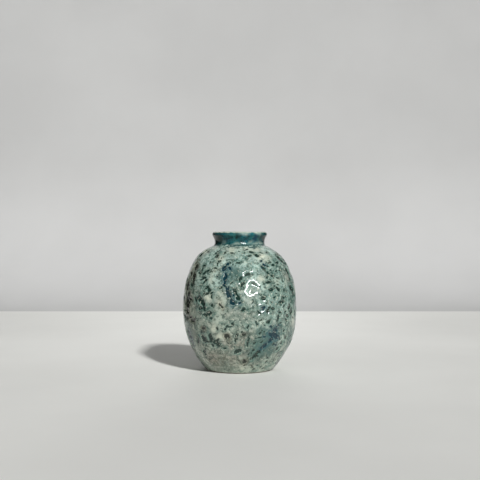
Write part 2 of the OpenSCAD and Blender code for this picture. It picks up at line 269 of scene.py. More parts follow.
# Washes there: how many of each tint, and their usual length and width
BACK_WASHES = {
    "teal": (7, 38, 20), "blue": (6, 17, 9), "green": (14, 34, 18),
    "grey": (6, 36, 20), "cream": (20, 13, 7), "brown": (4, 48, 18),
}
WASH_HEIGHTS = (6, 150)
WASH_SIZES = (0.7, 1.3)
WASH_STRENGTHS = (0.6, 1)

# Dents there: how many, a length, the middle and spread of the logarithm of what it is multiplied by, the
# longest, the width as a share of the length, and the strength from which a wash tints the dents in it
BACK_DENTS = 330
DENT_HEIGHTS = (7, 150)
DENT_LENGTH = 3.2
DENT_LENGTHS = (0.55, 0.35)
LONGEST_DENT = 12
DENT_SHAPES = (0.4, 0.85)
DENT_WIDTHS = (2.2, 6)
DENT_STRENGTHS = (0.5, 1)
TINTING_WASH = 0.3

# Smaller marks around every dent: how many, how far off and how large for its size, their least length and
# width, how far their tilt strays, and their share of its strength
SPECKS = 2
SPECK_DISTANCES = (0.5, 1.1)
SPECK_SIZES = (0.3, 0.6)
SPECK_HEIGHTS = (4, 151)
SPECK_LENGTH = 2
SPECK_WIDTH = 1.6
SPECK_TILT = 35
SPECK_STRENGTHS = (0.4, 0.9)

# Marks on the neck's sides and back: how many of each tint, and their sizes
NECK_BACK_MARKS = {"dark": 14, "blue": 8, "pale": 12}
NECK_MARK_HEIGHTS = (154, 169)
NECK_MARK_LENGTHS = (5, 13)
NECK_MARK_WIDTHS = (3, 7)
NECK_MARK_STRENGTHS = (0.5, 1)

# Broad wobbles of the wall, all around
WOBBLES = 90
WOBBLE_HEIGHTS = (5, 150)
WOBBLE_LENGTHS = (12, 30)
WOBBLE_WIDTHS = (8, 18)
WOBBLE_SHARES = (-1, 1)
WOBBLE_DEPTH = 0.8

# Waves that move points about, which gives marks uneven edges: how many, their lengths and their height
WANDER_WAVES = 16
WANDER_LENGTHS = (4, 11)
WANDER = 0.18

# Relief: a dent's depth as a share of its width, the deepest, the raised rim's size and height as shares of
# the dent's, the size of the crest around a bowl as a share of the bowl's, and the height of a bead
DENT_DEPTH = 0.33
DEEPEST = 1.5
RIM_SIZE = 1.6
RIM_SHARE = 0.45
CREST_SIZE = 1.3
BEAD_HEIGHT = 0.8

# The relief fades out between two heights at the foot and between two radii at the neck
FOOT_FADE = (3, 19)
NECK_FADE = (33.5, 40)

# The clay follows the deepest glaze this far above and below, and in the next columns
CLAY_REACH = 1

# Glaze on the lip: its unevenness, the heights between which that begins, the numbers of waves around and how
# fast the shorter ones weaken. The glaze's back follows the flare to this angle, just above the root.
LIP_UNEVEN = 0.55
LIP_BEGINS = (158, 167)
LIP_WAVES = range(2, 15)
LIP_WAVE_FALL = 0.6
NECK_BACK_END = 195.5

# How crisp a mark's border is: 1 fades out softly, and a higher number makes it firmer
SOFT = 1
DENT_EDGE = 1.5
RIM_EDGE = 2
BOWL_EDGE = 2
CREST_EDGE = 3
FLAT_EDGE = 4
STAIN_EDGE = 2.2
SCAR_EDGE = 3
STREAK_EDGE = 2
NECK_MARK_EDGE = 1.5

# A mark has half its strength on its outline, and is worked out as far as this many of its lengths
TO_HALF = 0.69
MARK_REACH = 1.3

# Stain around a dent, in lengths and widths of the dent
HALO_SIZE = (2, 2.2)

# Dents by the tint of what has pooled in them
DENT_TINTS = ("green", "blue", "brown")


def direction(angle):
    """A flat unit vector at an angle."""
    return np.array((math.cos(math.radians(angle)), math.sin(math.radians(angle))))


def angle_of(way):
    """The angle of a vector, counted up from 0 to 360."""
    return math.degrees(math.atan2(way[1], way[0])) % 360


def circles_meet(first, second):
    """The upper left point where two circles meet; a circle is its middle (radius, height) and its size."""
    gap = np.subtract(second[:2], first[:2])
    apart = np.hypot(*gap)
    way = gap / apart
    along = (first[2] ** 2 - second[2] ** 2 + apart ** 2) / (2 * apart)
    aside = math.sqrt(first[2] ** 2 - along ** 2)
    return np.array(first[:2]) + along * way + aside * np.array((-way[1], way[0]))


# Neck: the middle line of its clay is one arc, upright at the waist and flaring to the middle of the lip
half_neck = NECK_WALL / 2
seat_z = HEIGHT - NECK_H
waist = np.array((NECK_D / 2 - GLAZE - half_neck, seat_z + WAIST_H))
lip = np.array((LIP_D / 2 - GLAZE - half_neck, HEIGHT - GLAZE - half_neck))
flare_r = (lip - waist) @ (lip - waist) / (2 * (lip[0] - waist[0]))
FLARE = (waist[0] + flare_r, waist[1], flare_r)
LIP = (*lip, half_neck)
LIP_ANGLE = angle_of(lip - FLARE[:2])
ROOT, THROAT = ((FLARE[0] - math.sqrt(radius ** 2 - WAIST_H ** 2), seat_z)
                for radius in (flare_r - half_neck, flare_r + half_neck))

# Body below the belly: one arc, upright at the belly and meeting the table at the foot
belly = np.array((BELLY_D / 2 - GLAZE, BELLY_Z))
drawn_in = belly[0] - FOOT_D / 2
lower_r = (BELLY_Z ** 2 + drawn_in ** 2) / (2 * drawn_in)
LOWER = (belly[0] - lower_r, BELLY_Z, lower_r)
GLAZE_LINE = math.degrees(math.asin((BARE_H - BELLY_Z) / lower_r))

# Body above the belly: two arcs with equal tangents, from upright at the belly to the shoulder's slope
root_way = direction(180 - SHOULDER_SLOPE)
chord = ROOT - belly
both = chord @ (root_way + (0, 1))
bend = 1 - root_way[1]
tangent = (math.sqrt(both ** 2 + 2 * bend * (chord @ chord)) - both) / (2 * bend)
between_corners = chord - tangent * root_way - (0, tangent)
UPPER_TURN = angle_of(between_corners) - 90
upper_r = tangent / math.tan(math.radians(UPPER_TURN / 2))
UPPER = (belly[0] - upper_r, BELLY_Z, upper_r)
shoulder_r = tangent / math.tan(math.radians((90 - SHOULDER_SLOPE - UPPER_TURN) / 2))
SHOULDER = (*(ROOT - shoulder_r * direction(90 - SHOULDER_SLOPE)), shoulder_r)

# Crease where the neck's glaze meets the clay, and the pool of glaze in it, tangent to both outer glazes
glazed_neck_r = flare_r - half_neck - GLAZE
crease = circles_meet(SHOULDER, (*FLARE[:2], glazed_neck_r))
pool_middle = circles_meet((*SHOULDER[:2], shoulder_r + GLAZE + CREASE_R),
                           (*FLARE[:2], glazed_neck_r - CREASE_R))
POOL = (*pool_middle, CREASE_R)
POOL_LOW = angle_of(pool_middle - SHOULDER[:2])
POOL_HIGH = angle_of(pool_middle - FLARE[:2])
CREASE_ON_SHOULDER = angle_of(crease - SHOULDER[:2])
CREASE_ON_NECK = angle_of(crease - FLARE[:2])


def arc(circle, outward, start, end, count=ARC_POINTS):
    """Points of a section's arc at a distance outward of it, as radius and height."""
    turn = np.radians(np.linspace(start, end, count))
    radius = circle[2] + outward
    return np.stack((circle[0] + radius * np.cos(turn), circle[1] + radius * np.sin(turn)), 1)


def evenly(points, count):
    """The same path with evenly spaced points."""
    steps = np.hypot(*np.diff(points, axis=0).T)
    run = np.concatenate(([0], np.cumsum(steps)))
    at = np.linspace(0, run[-1], count)
    return np.stack((np.interp(at, run, points[:, 0]), np.interp(at, run, points[:, 1])), 1)


def body_side(outward, low, high):
    """The body's section from an angle on its lower arc to one on the shoulder."""
    return np.concatenate((
        arc(LOWER, outward, low, 0),
        arc(UPPER, outward, 0, UPPER_TURN)[1:],
        arc(SHOULDER, outward, UPPER_TURN, high)[1:]))


GLAZE_SIDE = body_side(GLAZE, GLAZE_LINE, POOL_LOW)
AROUND = np.radians(np.arange(COLUMNS) * 360 / COLUMNS)


def radius_at(height, side=GLAZE_SIDE):
    """The radius that a side has at a height."""
    return np.interp(height, side[:, 1], side[:, 0])


def on_side(side, angle, height):
    """A place on a side of the vase, with the ways to the right and up along the surface."""
    radius = radius_at(height, side)
    wider = radius_at(height + SLOPE_STEP, side) - radius
    east = direction(angle)
    out = direction(angle - 90)
    up = np.array((out[0] * wider, out[1] * wider, SLOPE_STEP))
    return np.array((*(radius * out), height)), np.array((*east, 0)), up / np.linalg.norm(up)


def met_by_sight(right, down):
    """Where the line of sight through a pixel of the view meets the body, or passes closest to it."""
    focal = PICTURE * LENS / SENSOR
    middle = PICTURE * (0.5 - SHIFT[0]), PICTURE * (0.5 + SHIFT[1])
    way = np.array(((right - middle[0]) / focal, 1, (middle[1] - down) / focal))
    far = np.arange(-EYE[1] - BELLY_D, -EYE[1] + BELLY_D, SIGHT_STEP)
    points = EYE + far[:, None] * way
    gap = np.hypot(points[:, 0], points[:, 1]) - radius_at(points[:, 2])
    return points[np.argmax(gap <= 0) if (gap <= 0).any() else np.argmin(gap)]


def noted(marks):
    """Marks noted on the view, put on the body: angle, height, length, width, tilt and strength."""
    placed = []
    for right, down, long, wide, tilt, strength in marks:
        place = met_by_sight(right, down)
        angle = math.degrees(math.atan2(place[0], -place[1]))
        _, east, up = on_side(GLAZE_SIDE, angle, place[2])
        foreshortened = np.array(((max(east[0], LEAST_SEEN), up[0]), (0, max(up[2], LEAST_SEEN))))
        lean = direction(tilt)
        looks = np.array((lean * long, (-lean[1] * wide, lean[0] * wide))).T
        ways, sizes, _ = np.linalg.svd(np.linalg.solve(foreshortened, looks))
        placed.append((angle, place[2], *sizes, angle_of(ways[:, 0]), strength))
    return placed


def grown(marks, longer, wider, share=1):
    """The marks with their lengths and widths times a number, at a share of their strength."""
    return [(*place, longer * long, wider * wide, tilt, share * strength)
            for *place, long, wide, tilt, strength in marks]


def turned(section):
    """Rings of points through a section, one row for each of its points."""
    radius = section[:, :1]
    height = section[:, 1:]
    return np.stack((radius * np.sin(AROUND), -radius * np.cos(AROUND), height + 0 * AROUND), 2)


def outward_ways(section):
    """Rings of unit vectors that point out of the side of a section that runs upwards."""
    along = np.gradient(section, axis=0)
    along /= np.linalg.norm(along, axis=1, keepdims=True)
    out = along[:, 1:]
    up = -along[:, :1]
    return np.stack((out * np.sin(AROUND), -out * np.cos(AROUND), up + 0 * AROUND), 2)


def wander(points):
    """The points moved about a little, which gives marks an uneven edge."""
    moved = points.copy()
    for way, shift, start in WAVES:
        moved += shift * np.sin(points @ way + start)[:, None]
    return moved


def spread(points, marks, edge, side=GLAZE_SIDE):
    """How far the strongest mark reaches at each point; a higher edge gives a crisper border."""
    level = np.zeros(len(points))
    for angle, height, long, wide, tilt, strength in marks:
        place, east, up = on_side(side, angle, height)
        reach = MARK_REACH * long
        near = np.nonzero(np.abs(points[:, 2] - height) < reach)[0]
        away = points[near] - place
        close = (away * away).sum(1) < reach ** 2
        near = near[close]
        away = away[close]
        lean = direction(tilt)
        along = away @ (lean[0] * east + lean[1] * up)
        across = away @ (lean[0] * up - lean[1] * east)
        ring = (2 * along / long) ** 2 + (2 * across / wide) ** 2
        level[near] = np.maximum(level[near], strength * np.exp(-TO_HALF * ring ** edge))
    return level


def smooth_step(value, low, high):
    """0 below low, 1 above high and a smooth step in between."""
    share = np.clip((value - low) / (high - low), 0, 1)
    return share * share * (3 - 2 * share)


def back_angle(chance):
    """An angle on the sides or the back, where the front's own marks end."""
    return chance.uniform(BACK_FROM, 360 - BACK_FROM)


def back_height(chance, low, high):
    """A height on the body, more often where it is wide."""
    widest = GLAZE_SIDE[:, 0].max()
    while True:
        height = chance.uniform(low, high)
        if chance.uniform(0, widest) < radius_at(height):
            return height


def back_washes(chance):
    """Washes all over the sides and the back."""
    return {
        tint: [(back_angle(chance), back_height(chance, *WASH_HEIGHTS), long * chance.uniform(*WASH_SIZES),
                wide * chance.uniform(*WASH_SIZES), chance.uniform(*ANY_TILT),
                chance.uniform(*WASH_STRENGTHS)) for _ in range(count)]
        for tint, (count, long, wide) in BACK_WASHES.items()}


def back_dents(chance, washes):
    """Dents on the sides and the back, blue or brown where they lie in such a wash."""
    dents = {tint: [] for tint in DENT_TINTS}
    for _ in range(BACK_DENTS):
        angle = back_angle(chance)
        height = back_height(chance, *DENT_HEIGHTS)
        long = min(DENT_LENGTH * math.exp(chance.normal(*DENT_LENGTHS)), LONGEST_DENT)
        wide = np.clip(long * chance.uniform(*DENT_SHAPES), *DENT_WIDTHS)
        dent = (angle, height, long, wide, chance.uniform(*ANY_TILT), chance.uniform(*DENT_STRENGTHS))
        place = on_side(GLAZE_SIDE, angle, height)[0][None]
        tint = "green"
        for other in ("blue", "brown"):
            if spread(place, washes[other], SOFT)[0] > TINTING_WASH:
                tint = other
        dents[tint].append(dent)
    return dents


def specks(chance, marks):
    """Smaller marks around each mark."""
    small = []
    for angle, height, long, wide, tilt, strength in marks:
        radius = radius_at(height)
        for _ in range(SPECKS):
            away = long * chance.uniform(*SPECK_DISTANCES)
            size = chance.uniform(*SPECK_SIZES)
            way = direction(chance.uniform(0, 360))
            beside = angle + math.degrees(away * way[0] / radius)
            above = np.clip(height + away * way[1], *SPECK_HEIGHTS)
            small.append((beside, above, max(long * size, SPECK_LENGTH), max(wide * size, SPECK_WIDTH),
                          tilt + chance.normal(0, SPECK_TILT), strength * chance.uniform(*SPECK_STRENGTHS)))
    return small


def drawn_wobbles(chance):
    """Broad wobbles all around the body, with shares of the wobbles' depth."""
    return [(chance.uniform(0, 360), back_height(chance, *WOBBLE_HEIGHTS), chance.uniform(*WOBBLE_LENGTHS),
             chance.uniform(*WOBBLE_WIDTHS), chance.uniform(*ANY_TILT), chance.uniform(*WOBBLE_SHARES))
            for _ in range(WOBBLES)]


def neck_back_marks(chance, count):
    """Marks on the neck's sides and back."""
    return [(chance.uniform(NECK_BACK_FROM, 360 - NECK_BACK_FROM), chance.uniform(*NECK_MARK_HEIGHTS),
             chance.uniform(*NECK_MARK_LENGTHS), chance.uniform(*NECK_MARK_WIDTHS), chance.uniform(*ANY_TILT),
             chance.uniform(*NECK_MARK_STRENGTHS)) for _ in range(count)]


chance = np.random.default_rng(SEED)
WAVES = []
for _ in range(WANDER_WAVES):
    way = chance.normal(0, 1, 3)
    way = way / np.linalg.norm(way) * FULL_TURN / chance.uniform(*WANDER_LENGTHS)
    WAVES.append((way, chance.normal(0, WANDER, 3), chance.uniform(0, FULL_TURN)))
washes = back_washes(chance)
dents = back_dents(chance, washes)
for tint, marks in SEEN_WASHES.items():
    washes[tint] = [*noted(marks), *WIDE_WASHES.get(tint, ()), *washes[tint]]
for tint, marks in zip(DENT_TINTS, (GREEN_DENTS, BLUE_DENTS, BROWN_DENTS)):
    dents[tint] = [*noted(marks), *dents[tint]]
    dents[tint] += specks(chance, dents[tint])
dents["green"] += SIDE_DENTS
wobbles = [*drawn_wobbles(chance), *SIDE_SWELLS]


def way_to(azimuth, elevation):
    """A unit vector, from degrees right of the front and above the floor."""
    flat = direction(azimuth - 90)
    up = direction(elevation)
    return np.array((*(up[0] * flat), up[1]))


def flattened(points, depth, flats, side):
    """The depths at points of a side with flats pressed into them, which mirror the glint lamp to the eye."""
    for mark in flats:
        share = spread(points, [mark], FLAT_EDGE, side)
        place = on_side(side, mark[0], mark[1])[0]
        to_eye = (EYE - place) / np.linalg.norm(EYE - place)
        facing = to_eye + way_to(*GLINT_LAMP)
        plane = (points - place) @ facing / np.linalg.norm(facing)
        level = (depth - plane)[share > 0.5].mean()
        depth = depth + share * (plane + level - depth)
    return depth


def relief(points):
    """How far the hand-worked surface lies inside the turned one, at each point."""
    depth = np.zeros(len(points))
    rim = np.zeros(len(points))
    moved = wander(points)
    for marks in dents.values():
        deep = [(*mark[:5], min(DENT_DEPTH * mark[3], DEEPEST) * mark[5]) for mark in marks]
        depth = np.maximum(depth, spread(moved, deep, DENT_EDGE))
        rim = np.maximum(rim, spread(moved, grown(deep, RIM_SIZE, RIM_SIZE, RIM_SHARE), RIM_EDGE))
    swell = -np.maximum(rim - depth, 0)
    for mark in wobbles:
        swell += WOBBLE_DEPTH * mark[5] * spread(points, [(*mark[:5], 1)], SOFT)
    for *shape, down, crest in FRONT_BOWLS:
        bowl = spread(points, [(*shape, 1)], BOWL_EDGE)
        around = spread(points, grown([(*shape, 1)], CREST_SIZE, CREST_SIZE), CREST_EDGE)
        swell += down * bowl - crest * (around - bowl)
    radius = np.hypot(points[:, 0], points[:, 1])
    near_foot = smooth_step(points[:, 2], *FOOT_FADE)
    near_neck = np.where(points[:, 2] > BELLY_Z, smooth_step(radius, *NECK_FADE), 1)
    worked = (depth + swell) * near_foot * near_neck - BEAD_HEIGHT * spread(points, CREASE_BEADS, SOFT)
    return flattened(points, worked, noted(LARGE_FLATS + SMALL_FLATS), GLAZE_SIDE)


def pressed(section, depth):
    """Rings through a section, moved inwards by a depth at each point."""
    return turned(section) - depth[..., None] * outward_ways(section)


def deepest_around(section, glaze, depth):
    """For each point of the clay's section, the deepest that the glaze on it is pressed in nearby."""
    heights = section[:, 1]
    low = np.concatenate((heights[:1], heights[:-1])) - CLAY_REACH
    high = np.concatenate((heights[1:], heights[-1:])) + CLAY_REACH
    rows = [depth[(glaze[:, 1] > under) & (glaze[:, 1] < over)].max(0) for under, over in zip(low, high)]
    return np.maximum.reduce([np.roll(rows, step, 1) for step in (-1, 0, 1)])


def skin(name, rings, shown_rows, node):
    """A closed coat through rings of points; its first rows are the side that shows."""
    rows = len(rings)
    mesh = bpy.data.meshes.new(name)
    row, column = np.meshgrid(np.arange(rows), np.arange(COLUMNS), indexing="ij")
    above = (row + 1) % rows
    beside = (column + 1) % COLUMNS
    faces = np.stack((row * COLUMNS + column, row * COLUMNS + beside, above * COLUMNS + beside,
                      above * COLUMNS + column), 2).reshape(-1, 4)
    mesh.from_pydata((rings.reshape(-1, 3) * MM).tolist(), [], faces.tolist())
    shown_part = np.linspace(0, SHOWN_SHARE, shown_rows)
    hidden_part = np.linspace(SHOWN_SHARE, 1, rows - shown_rows + 2)[1:]
    unrolled = np.concatenate((shown_part, hidden_part))
    left = column / COLUMNS
    right = (column + 1) / COLUMNS
    low = unrolled[row]
    high = unrolled[row + 1]
    corners = np.stack((left, low, right, low, right, high, left, high), 2)
    mesh.uv_layers.new(name="OFBake").data.foreach_set("uv", corners.ravel().astype(np.float32))
    mesh.shade_smooth()
    mesh.set_sharp_from_angle(angle=math.radians(SHARP))
    piece = bpy.data.objects.new(name, mesh)
    bpy.context.collection.objects.link(piece)
    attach(piece, "root")
    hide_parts(node)
    return piece


def keep_shares(piece, name, *three):
    """Keeps three shares per point on a piece, for its material."""
    colours = np.stack((*three, np.ones(len(three[0]))), 1).astype(np.float32)
    piece.data.attributes.new(name, "FLOAT_COLOR", "POINT").data.foreach_set("color", colours.ravel())


def keep_marks(piece, name, points, marks, tints, edge, side=GLAZE_SIDE):
    """Keeps on a piece how far the marks of three tints reach at its points."""
    keep_shares(piece, name, *(spread(points, marks[tint], edge, side) for tint in tints))


# Body glaze: its outside and the pool in the crease, then its back on the neck's glaze and the clay
side = evenly(GLAZE_SIDE, GLAZE_ROWS)
pool = evenly(arc(POOL, 0, POOL_LOW + 180, POOL_HIGH), POOL_ROWS)[1:]
shown = np.concatenate((side, pool))
up_the_neck = arc(FLARE, -half_neck - GLAZE, POOL_HIGH, CREASE_ON_NECK, UNDER_POOL_ROWS)[1:]
wall_turn = math.degrees(math.asin((WALL_FOOT - BELLY_Z) / lower_r))
below_wall = evenly(arc(LOWER, 0, GLAZE_LINE, wall_turn), BELOW_WALL_ROWS)[:-1]
wall_side = evenly(body_side(0, wall_turn, CREASE_ON_SHOULDER), WALL_ROWS)
clay_side = np.concatenate((below_wall, wall_side))
glaze_depth = relief(turned(shown).reshape(-1, 3)).reshape(len(shown), COLUMNS)
clay_rings = pressed(clay_side, deepest_around(clay_side, shown, glaze_depth))
body_rings = np.concatenate((pressed(shown, glaze_depth), turned(up_the_neck), clay_rings[::-1]))
body = skin("mottled_body_glaze", body_rings, len(shown), "body_glaze")

# Shares of the body's tints, worked out on the turned form
even_rings = np.concatenate((turned(shown), turned(up_the_neck), turned(clay_side)[::-1]))
body_points = wander(even_rings.reshape(-1, 3))
halos = {tint: grown(marks, *HALO_SIZE) for tint, marks in dents.items()}
scars = [(*place, long + SCAR_MARGIN, wide + SCAR_MARGIN, tilt, strength)
         for *place, long, wide, tilt, strength in noted(LARGE_FLATS)]
dry = spread(body_points, scars, SCAR_EDGE)
keep_marks(body, "dents", body_points, dents, DENT_TINTS, STAIN_EDGE)
keep_marks(body, "halos", body_points, halos, DENT_TINTS, SOFT)
keep_marks(body, "washes", body_points, washes, ("teal", "green", "blue"), SOFT)
keep_shares(body, "scars", dry, spread(body_points, noted(GLOSSY_STREAKS), STREAK_EDGE), 0 * dry)
keep_marks(body, "tints", body_points, washes, ("cream", "grey", "brown"), SOFT)

# Clay wall: pressed in under the glaze's dents, smooth inside
hollow_turn = math.degrees(math.asin((WALL_FOOT - BELLY_Z) / (lower_r - WALL)))
throat_turn = math.degrees(math.acos((THROAT[0] - SHOULDER[0]) / (shoulder_r - WALL)))
hollow_side = evenly(body_side(-WALL, hollow_turn, throat_turn), HOLLOW_ROWS)
wall_rings = np.concatenate((
    clay_rings[len(below_wall):],
    turned(np.array((ROOT, THROAT))),
    turned(hollow_side[::-1])))
wall = skin("dented_body_wall", wall_rings, WALL_ROWS, "body_wall")

# Neck glaze: thicker and thinner around the lip
neck_side = evenly(arc(FLARE, -half_neck - GLAZE, CREASE_ON_NECK, LIP_ANGLE), NECK_ROWS)
lip_side = evenly(arc(LIP, GLAZE, LIP_ANGLE - 180, LIP_ANGLE), LIP_ROWS)[1:]
neck_shown = np.concatenate((neck_side, lip_side))
neck_back = np.concatenate((
    arc(LIP, 0, LIP_ANGLE, LIP_ANGLE - 180, NECK_BACK_ROWS),
    arc(FLARE, -half_neck, LIP_ANGLE, NECK_BACK_END, NECK_BACK_ROWS)[1:],
    (ROOT,)))
uneven = np.zeros(COLUMNS)
for waves in LIP_WAVES:
    swing = chance.normal(0, 1) / waves ** LIP_WAVE_FALL
    uneven += swing * np.cos(waves * AROUND + chance.uniform(0, FULL_TURN))
uneven = (uneven - uneven.min()) / (uneven.max() - uneven.min())
lift = smooth_step(neck_shown[:, 1], *LIP_BEGINS)[:, None]
even_neck = turned(neck_shown).reshape(-1, 3)
neck_depth = flattened(even_neck, -(LIP_UNEVEN * lift * uneven).ravel(), NECK_FLATS, neck_side)
neck_front = pressed(neck_shown, neck_depth.reshape(len(neck_shown), COLUMNS))
neck_rings = np.concatenate((neck_front, turned(neck_back)))
neck = skin("uneven_neck_glaze", neck_rings, len(neck_shown), "neck_glaze")
neck_points = wander(np.concatenate((even_neck, turned(neck_back).reshape(-1, 3))))
neck_marks = {tint: [*marks, *neck_back_marks(chance, NECK_BACK_MARKS[tint])]
              for tint, marks in NECK_MARKS.items()}
keep_marks(neck, "marks", neck_points, neck_marks, ("dark", "blue", "pale"), NECK_MARK_EDGE, neck_side)


class Wire:
    """A socket of a material's nodes. Sums on wires add Math nodes."""

    def __init__(self, tree, socket=None):
        self.tree = tree
        self.socket = socket

    def node(self, kind, settings=None, plugs=None, out=0):
        """A node of a kind: its settings are set first, then the values or wires of its sockets."""
        made = self.tree.nodes.new("ShaderNode" + kind)
        for name, value in (settings or {}).items():
            setattr(made, name, value)
        for name, value in (plugs or {}).items():
            if isinstance(value, Wire):
                self.tree.links.new(value.socket, made.inputs[name])
            else:
                made.inputs[name].default_value = value
        return Wire(self.tree, made.outputs[out])

    def sum(self, operation, *values):
        return self.node("Math", {"operation": operation}, dict(enumerate(values)))

    def __add__(self, other):
        return self.sum("ADD", self, other)

    def __sub__(self, other):
        return self.sum("SUBTRACT", self, other)

    def __rsub__(self, other):
        return self.sum("SUBTRACT", other, self)

    def __mul__(self, other):
        return self.sum("MULTIPLY", self, other)

    __radd__ = __add__
    __rmul__ = __mul__

    def between(self, low, high):
        """0 below low, 1 above high and a smooth step in between."""
        return self.node("MapRange", {"interpolation_type": "SMOOTHSTEP"},
                         {"Value": self, "From Min": low, "From Max": high})

    def blend(self, first, second):
        """The first colour where this is 0 and the second where it is 1."""
        return self.node("Mix", {"data_type": "RGBA"}, {0: self, 6: first, 7: second}, 2)

    def sway(self, far, middle=0.5):
        """Noise as a swing about 0, in which 1 of noise is this far."""
        return (self - middle) * far

    def cloud(self, size, detail=3, rough=0.55, bend=0):
        """Noise with blotches of about a size, in millimetres, at these coordinates."""
        return self.node("TexNoise", {}, {"Vector": self, "Scale": BLOTCH / (size * MM), "Detail": detail,
                                          "Roughness": rough, "Distortion": bend})

    def parts(self, *wanted):
        """Parts of these coordinates: 0 is to the right, 1 to the back and 2 up."""
        return [self.node("SeparateXYZ", {}, {0: self}, part) for part in wanted]

    def shares(self, name):
        """The three shares that a piece keeps per point."""
        kept = self.node("Attribute", {"attribute_name": name})
        return [self.node("SeparateColor", {}, {"Color": kept}, part) for part in range(3)]

    def bumps(self, height, distance, strength):
        """A bumpy normal, as high as a distance in millimetres."""
        return self.node("Bump", {}, {"Strength": strength, "Distance": distance * MM, "Height": height})


def finish(name, paint):
    """A material whose surface takes the sockets that paint works out."""
    made = bpy.data.materials.new(name)
    made.use_nodes = True
    tree = made.node_tree
    tree.nodes.clear()
    start = Wire(tree)
    surface = start.node("BsdfPrincipled", {}, paint(start))
    tree.links.new(surface.socket, tree.nodes.new("ShaderNodeOutputMaterial").inputs["Surface"])
    return made


def rgb(*screen):
    """A screen colour of 0 to 255, by the sRGB curve, as Blender's linear one."""
    return (*(((c / 255 + 0.055) / 1.055) ** 2.4 if c > 10 else c / 3294.6 for c in screen), 1)


# Size of a noise's blotches, times its scale
BLOTCH = 0.6

# Body glaze
CELADON = rgb(180, 205, 194)
GREY_GREEN = rgb(136, 157, 149)
# Warmer, darker tones of the ground, which also paint the shade below and to the left
WARM_SHADED_CELADON = rgb(176, 188, 172)
WARM_SHADED_GREY = rgb(134, 144, 132)
CREAM = rgb(217, 221, 201)
GREY_BEIGE = rgb(162, 155, 142)
TEAL = rgb(72, 102, 96)
MID_GREEN = rgb(90, 123, 113)
DARK_GREEN = rgb(20, 44, 37)
FLECK_GREEN = rgb(42, 69, 60)
TEAL_BLUE = rgb(40, 86, 92)
DEEP_BLUE = rgb(10, 46, 57)
OLIVE_BROWN = rgb(98, 100, 84)
BLACK_BROWN = rgb(32, 38, 32)
CREASE_TEAL = rgb(18, 66, 66)

# Neck glaze
NECK_TEAL = rgb(28, 99, 100)
NECK_BLUE = rgb(24, 102, 112)
WORN_TEAL = rgb(60, 112, 108)
BLACK_TEAL = rgb(2, 36, 34)
INK_BLUE = rgb(0, 52, 74)
BLACK_GREEN_AND_SIDE_SHADE = rgb(6, 26, 22)
CREASE_GREY = rgb(112, 136, 124)
PALE_GREEN = rgb(150, 168, 158)
THROAT_GREEN = rgb(158, 178, 164)
LIP_CREAM = rgb(200, 208, 192)

# Liner glaze, clay and slip
LINER_GREEN = rgb(186, 198, 180)
LINER_CREAM = rgb(206, 211, 190)
LINER_FLECK = rgb(140, 160, 146)
LINER_RUN = rgb(150, 172, 158)
CLAY = rgb(176, 171, 158)
DARK_CLAY = rgb(146, 141, 128)
SLIP = rgb(190, 181, 162)
DARK_SLIP = rgb(172, 162, 143)
GRIT = rgb(120, 104, 84)

# Roughness of bright gloss, and what a dry scar adds to it
GLOSS = 0.03
DRY = 0.45

# Where glazes change, in metres: the pairs are heights, apart from the throat's radii
NECK_LINE = (0.1522, 0.1542)
NECK_LINE_WANDER = 0.016
# Heights at which the ground turns from warm and darker to cool and paler, partly painted shade below and to
# the left
COOLER_WHERE_LIT = (0.04, 0.11)
THROAT_BEGINS = (0.162, 0.166)
THROAT_RADII = (0.0305, 0.0285)
LIP_BREAKS = (0.1684, 0.1698)
RUNS_BEGIN = (0.15, 0.163)


def place_on(start):
    """Coordinates on a piece, in its own frame."""
    return start.node("TexCoord", out="Object")


def coat(ground, tint, mask, most=1.0):
    """A ground with a tint over it, as strong as a mask says and at most this strong."""
    return (mask * most).blend(ground, tint)


def neck_line(at, height):
    """1 above the line where the neck's dark glaze meets the body's, which wanders about the crease."""
    wave = at.cloud(8) + at.cloud(2, detail=2) * 0.3
    return (height + wave.sway(NECK_LINE_WANDER, middle=0.65)).between(*NECK_LINE)


